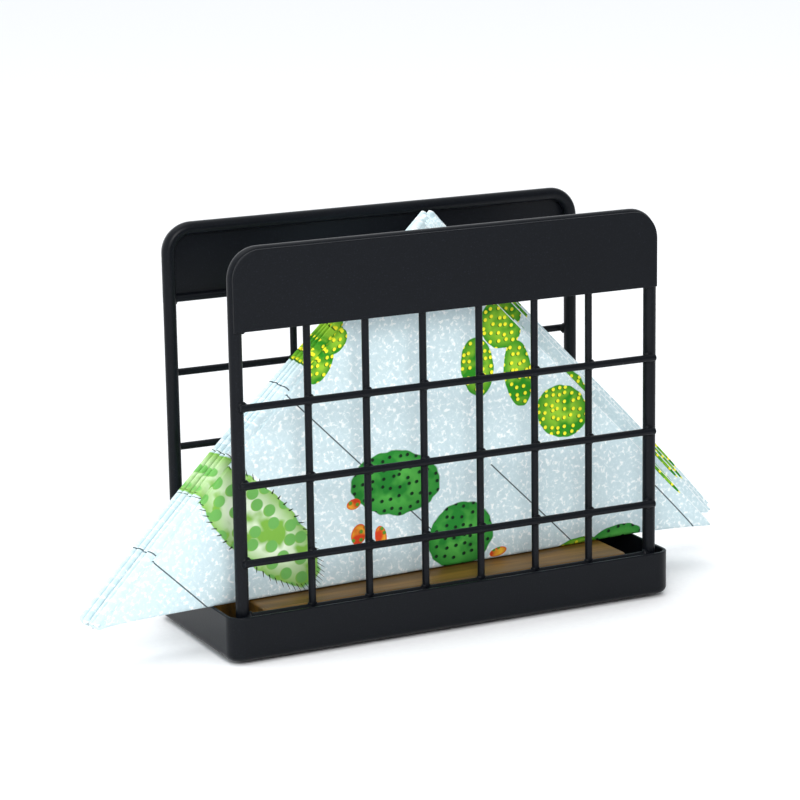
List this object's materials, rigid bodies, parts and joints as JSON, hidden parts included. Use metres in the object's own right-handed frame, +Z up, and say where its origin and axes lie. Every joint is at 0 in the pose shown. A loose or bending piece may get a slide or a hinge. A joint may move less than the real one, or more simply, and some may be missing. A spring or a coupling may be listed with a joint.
{
  "type": "napkin dispenser",
  "caption": "Upright wire-and-sheet napkin holder in a shallow black tray with a wooden board, holding a stack of folded paper napkins that pull out upwards.",
  "frame": {"origin": "on the table, under the middle of the tray", "axes": "+X along the tray's length, -Y towards the front panel, +Z up"},
  "size_m": [0.2416, 0.064, 0.1334],
  "materials": {
    "black_powder_coat": "satin",
    "board_wood": "satin",
    "screw_steel": "satin",
    "foot_rubber": "matte",
    "napkin_paper": "matte"
  },
  "bodies": {
    "holder": {"base_tray": "black_powder_coat", "front_hoop": "black_powder_coat", "front_header_band": "black_powder_coat", "front_bottom_rail": "black_powder_coat", "front_band_wire": "black_powder_coat", "front_upright_1": "black_powder_coat", "front_upright_2": "black_powder_coat", "front_upright_3": "black_powder_coat", "front_upright_4": "black_powder_coat", "front_upright_5": "black_powder_coat", "front_upright_6": "black_powder_coat", "front_cross_wire_1": "black_powder_coat", "front_cross_wire_2": "black_powder_coat", "front_cross_wire_3": "black_powder_coat", "rear_hoop": "black_powder_coat", "rear_header_band": "black_powder_coat", "rear_bottom_rail": "black_powder_coat", "rear_band_wire": "black_powder_coat", "rear_upright_1": "black_powder_coat", "rear_upright_2": "black_powder_coat", "rear_upright_3": "black_powder_coat", "rear_upright_4": "black_powder_coat", "rear_upright_5": "black_powder_coat", "rear_upright_6": "black_powder_coat", "rear_cross_wire_1": "black_powder_coat", "rear_cross_wire_2": "black_powder_coat", "rear_cross_wire_3": "black_powder_coat", "insert_board": "board_wood", "board_screws": "screw_steel", "rubber_feet": "foot_rubber"},
    "napkin_1": {"napkin_1": "napkin_paper"},
    "napkin_2": {"napkin_2": "napkin_paper"},
    "napkin_3": {"napkin_3": "napkin_paper"},
    "napkin_4": {"napkin_4": "napkin_paper"},
    "napkin_5": {"napkin_5": "napkin_paper"},
    "napkin_6": {"napkin_6": "napkin_paper"}
  },
  "joints": [
    {"name": "napkin_1_lift", "type": "slide", "parent": "holder", "child": "napkin_1", "axis": [0, 0, 1], "range_m": [0, 0.12]},
    {"name": "napkin_2_lift", "type": "slide", "parent": "holder", "child": "napkin_2", "axis": [0, 0, 1], "range_m": [0, 0.12]},
    {"name": "napkin_3_lift", "type": "slide", "parent": "holder", "child": "napkin_3", "axis": [0, 0, 1], "range_m": [0, 0.12]},
    {"name": "napkin_4_lift", "type": "slide", "parent": "holder", "child": "napkin_4", "axis": [0, 0, 1], "range_m": [0, 0.12]},
    {"name": "napkin_5_lift", "type": "slide", "parent": "holder", "child": "napkin_5", "axis": [0, 0, 1], "range_m": [0, 0.12]},
    {"name": "napkin_6_lift", "type": "slide", "parent": "holder", "child": "napkin_6", "axis": [0, 0, 1], "range_m": [0, 0.12]}
  ]
}
